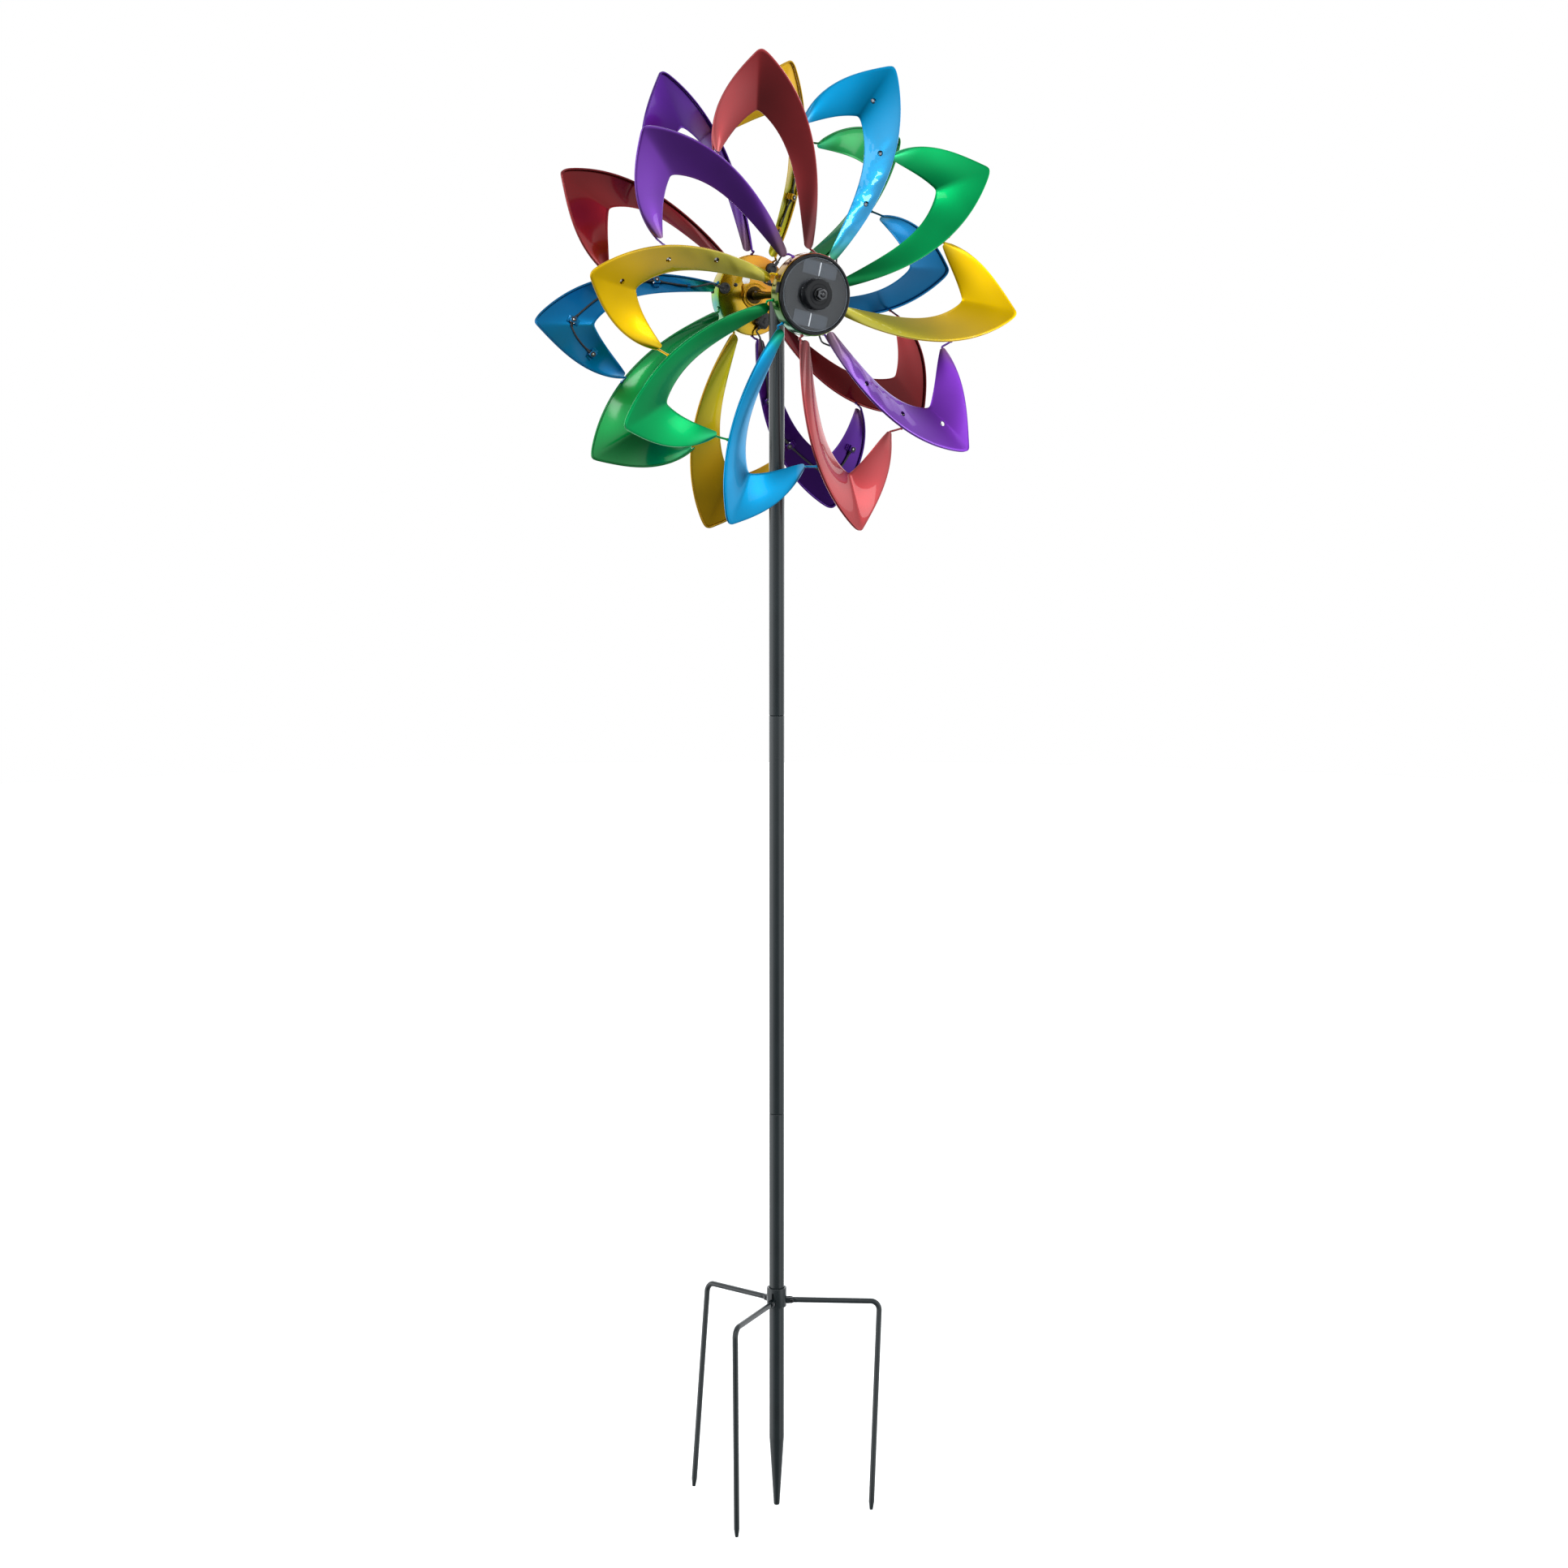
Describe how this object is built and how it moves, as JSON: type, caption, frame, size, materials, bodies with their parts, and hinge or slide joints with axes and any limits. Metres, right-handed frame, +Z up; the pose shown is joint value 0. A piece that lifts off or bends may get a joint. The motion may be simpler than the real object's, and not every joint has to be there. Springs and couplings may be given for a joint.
{
  "type": "garden windmill",
  "caption": "Garden windmill: two lacquered sheet-metal rotors with solar hub lights turn on one axle, on a sectioned pole with a ground spike and folding prongs.",
  "frame": {"origin": "on the pole's axis just under the bead that carries the prong collar, where the free pole below it starts", "axes": "+Z up along the pole, -Y towards the front rotor, +X to the right seen from the front"},
  "size_m": [0.6114, 0.258, 1.9218],
  "materials": {
    "pole_coat": "dark charcoal powder coat, satin",
    "black_steel": "blackened steel, satin",
    "bearing_steel": "polished bearing steel",
    "red_lacquer": "clear red lacquer over bright metal, gloss",
    "blue_lacquer": "clear blue lacquer over bright metal, gloss",
    "green_lacquer": "clear green lacquer over bright metal, gloss",
    "yellow_lacquer": "clear yellow lacquer over bright metal, gloss",
    "purple_lacquer": "clear purple lacquer over bright metal, gloss",
    "rod_lacquer": "rod painted with its blade, gloss",
    "drum_lacquer": "gold and rainbow lacquer, gloss",
    "black_plastic": "black moulded plastic, satin",
    "cell_blue": "dark blue solar cell",
    "cover_clear": "clear flat cover over the solar cells",
    "board_green": "green circuit board",
    "battery_sleeve": "shrink sleeve",
    "bracket_steel": "thin painted steel strip",
    "lamp_lens": "clear moulded lamp lens",
    "cable_black": "black cable jacket"
  },
  "bodies": {
    "stand": {"pole_top": "pole_coat", "pole_middle": "pole_coat", "pole_spike": "pole_coat", "pole_head": "pole_coat", "axle": "black_steel", "axle_washers": "black_steel", "axle_nuts": "black_steel", "collar": "pole_coat", "collar_pins": "black_steel"},
    "left_prong": {"prong_left": "pole_coat"},
    "front_prong": {"prong_front": "pole_coat"},
    "right_prong": {"prong_right": "pole_coat"},
    "front_rotor": {"front_blade_01": "red_lacquer", "front_blade_02": "blue_lacquer", "front_blade_03": "green_lacquer", "front_blade_04": "yellow_lacquer", "front_blade_05": "purple_lacquer", "front_blade_06": "red_lacquer", "front_blade_07": "blue_lacquer", "front_blade_08": "green_lacquer", "front_blade_09": "yellow_lacquer", "front_blade_10": "purple_lacquer", "front_edge_rods": "rod_lacquer", "front_hub_drum": "drum_lacquer", "front_bearing_tube": "drum_lacquer", "front_bearings": "bearing_steel", "front_solar_housing": "black_plastic", "front_solar_cells": "cell_blue", "front_solar_cover": "cover_clear", "front_circuit_board": "board_green", "front_battery": "battery_sleeve", "front_hub_screws": "black_steel", "front_cable_outlets": "black_plastic", "front_lamp_brackets": "bracket_steel", "front_lamps": "lamp_lens", "front_lamp_cables": "cable_black"},
    "rear_rotor": {"rear_blade_01": "yellow_lacquer", "rear_blade_02": "green_lacquer", "rear_blade_03": "blue_lacquer", "rear_blade_04": "red_lacquer", "rear_blade_05": "purple_lacquer", "rear_blade_06": "yellow_lacquer", "rear_blade_07": "green_lacquer", "rear_blade_08": "blue_lacquer", "rear_blade_09": "red_lacquer", "rear_blade_10": "purple_lacquer", "rear_edge_rods": "rod_lacquer", "rear_hub_drum": "drum_lacquer", "rear_bearing_tube": "drum_lacquer", "rear_bearings": "bearing_steel", "rear_solar_housing": "black_plastic", "rear_solar_cells": "cell_blue", "rear_solar_cover": "cover_clear", "rear_circuit_board": "board_green", "rear_battery": "battery_sleeve", "rear_hub_screws": "black_steel", "rear_cable_outlets": "black_plastic", "rear_lamp_brackets": "bracket_steel", "rear_lamps": "lamp_lens", "rear_lamp_cables": "cable_black"}
  },
  "joints": [
    {"name": "front_rotor_spin", "type": "hinge", "parent": "stand", "child": "front_rotor", "pos_m": [0, -0.088, 1.343], "axis": [0, 1, 0], "continuous": true},
    {"name": "rear_rotor_spin", "type": "hinge", "parent": "stand", "child": "rear_rotor", "pos_m": [0, 0.072, 1.343], "axis": [0, 1, 0], "continuous": true},
    {"name": "left_prong_fold", "type": "hinge", "parent": "stand", "child": "left_prong", "pos_m": [-0.00472, 0.01892, 0.00975], "axis": [0.9703, 0.2419, 0], "range_deg": [0, 90]},
    {"name": "front_prong_fold", "type": "hinge", "parent": "stand", "child": "front_prong", "pos_m": [-0.01526, -0.01214, 0.00975], "axis": [-0.6225, 0.7826, 0], "range_deg": [0, 90]},
    {"name": "right_prong_fold", "type": "hinge", "parent": "stand", "child": "right_prong", "pos_m": [0.01814, -0.00715, 0.00975], "axis": [-0.3665, -0.9304, 0], "range_deg": [0, 90]}
  ]
}
